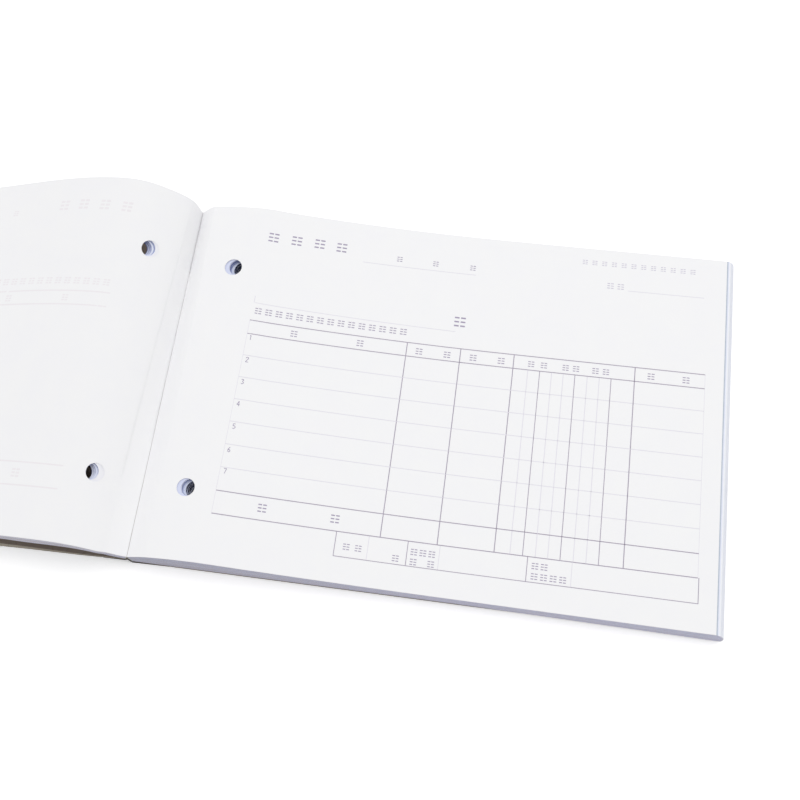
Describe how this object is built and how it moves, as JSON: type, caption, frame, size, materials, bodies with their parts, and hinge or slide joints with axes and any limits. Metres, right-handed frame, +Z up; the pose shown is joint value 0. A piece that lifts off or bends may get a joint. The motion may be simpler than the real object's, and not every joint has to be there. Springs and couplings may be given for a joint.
{
  "type": "carbonless copy book",
  "caption": "Open landscape carbonless copy book: a bound block of writing sets with a printed form on the top sheet, turned sets arched over the opened front cover.",
  "frame": {"origin": "middle of the open book's footprint, on the table", "axes": "+X across the open book towards the fore edge of the unwritten sets, +Y along the spine away from the reader, +Z up"},
  "size_m": [0.3716, 0.1288, 0.0245],
  "materials": {
    "paper_top": "matte uncoated",
    "paper_copy": "matte coated, faintly blue",
    "paper_sets": "matte cut edges",
    "cover_card": "matte uncoated board",
    "spine_cloth": "matte woven tape",
    "padding_glue": "dried padding compound"
  },
  "bodies": {
    "bound_block": {"back_cover": "cover_card", "unwritten_sets_1": "paper_sets", "unwritten_sets_2": "paper_sets", "unwritten_sets_3": "paper_sets", "unwritten_sets_4": "paper_sets", "unwritten_sets_5": "paper_sets", "unwritten_sets_6": "paper_sets", "unwritten_sets_7": "paper_sets", "unwritten_sets_8": "paper_sets", "copy_sheet_bound_strip": "paper_copy", "top_sheet_bound_strip": "paper_top", "turned_top_sheet_bound_strip": "paper_top", "turned_copy_sheet_bound_strip": "paper_copy", "turned_sets_1_bound_strip": "paper_sets", "turned_sets_2_bound_strip": "paper_sets", "turned_sets_3_bound_strip": "paper_sets", "turned_sets_4_bound_strip": "paper_sets", "front_cover_spine_strip": "cover_card", "binding_glue": "padding_glue", "spine_tape": "spine_cloth"},
    "copy_sheet": {"copy_sheet": "paper_copy"},
    "top_sheet": {"top_sheet": "paper_top"},
    "front_cover": {"front_cover": "cover_card"},
    "turned_leaves": {"turned_top_sheet": "paper_top", "turned_copy_sheet": "paper_copy", "turned_sets_1": "paper_sets", "turned_sets_2": "paper_sets", "turned_sets_3": "paper_sets", "turned_sets_4": "paper_sets"}
  },
  "joints": [
    {"name": "copy_sheet_turn", "type": "hinge", "parent": "bound_block", "child": "copy_sheet", "pos_m": [0.00696, -0.0636, 0.00801], "axis": [0.01, -0.9997, -0.0206], "range_deg": [0, 45]},
    {"name": "top_sheet_turn", "type": "hinge", "parent": "copy_sheet", "child": "top_sheet", "pos_m": [0.00692, -0.0636, 0.00818], "axis": [0.0106, -0.9997, -0.0211], "range_deg": [0, 50]},
    {"name": "front_cover_turn", "type": "hinge", "parent": "bound_block", "child": "front_cover", "pos_m": [-0.0088, 0, 0.0015], "axis": [0, 1, 0], "range_deg": [0, 55]},
    {"name": "turned_leaves_turn", "type": "hinge", "parent": "bound_block", "child": "turned_leaves", "pos_m": [-0.00615, -0.0636, 0.0079], "axis": [0.0359, 0.9986, 0.0398], "range_deg": [0, 61]}
  ],
  "couplings": [
    {"joint": "turned_leaves_turn", "follows": "front_cover_turn", "ratio": 1.1}
  ]
}
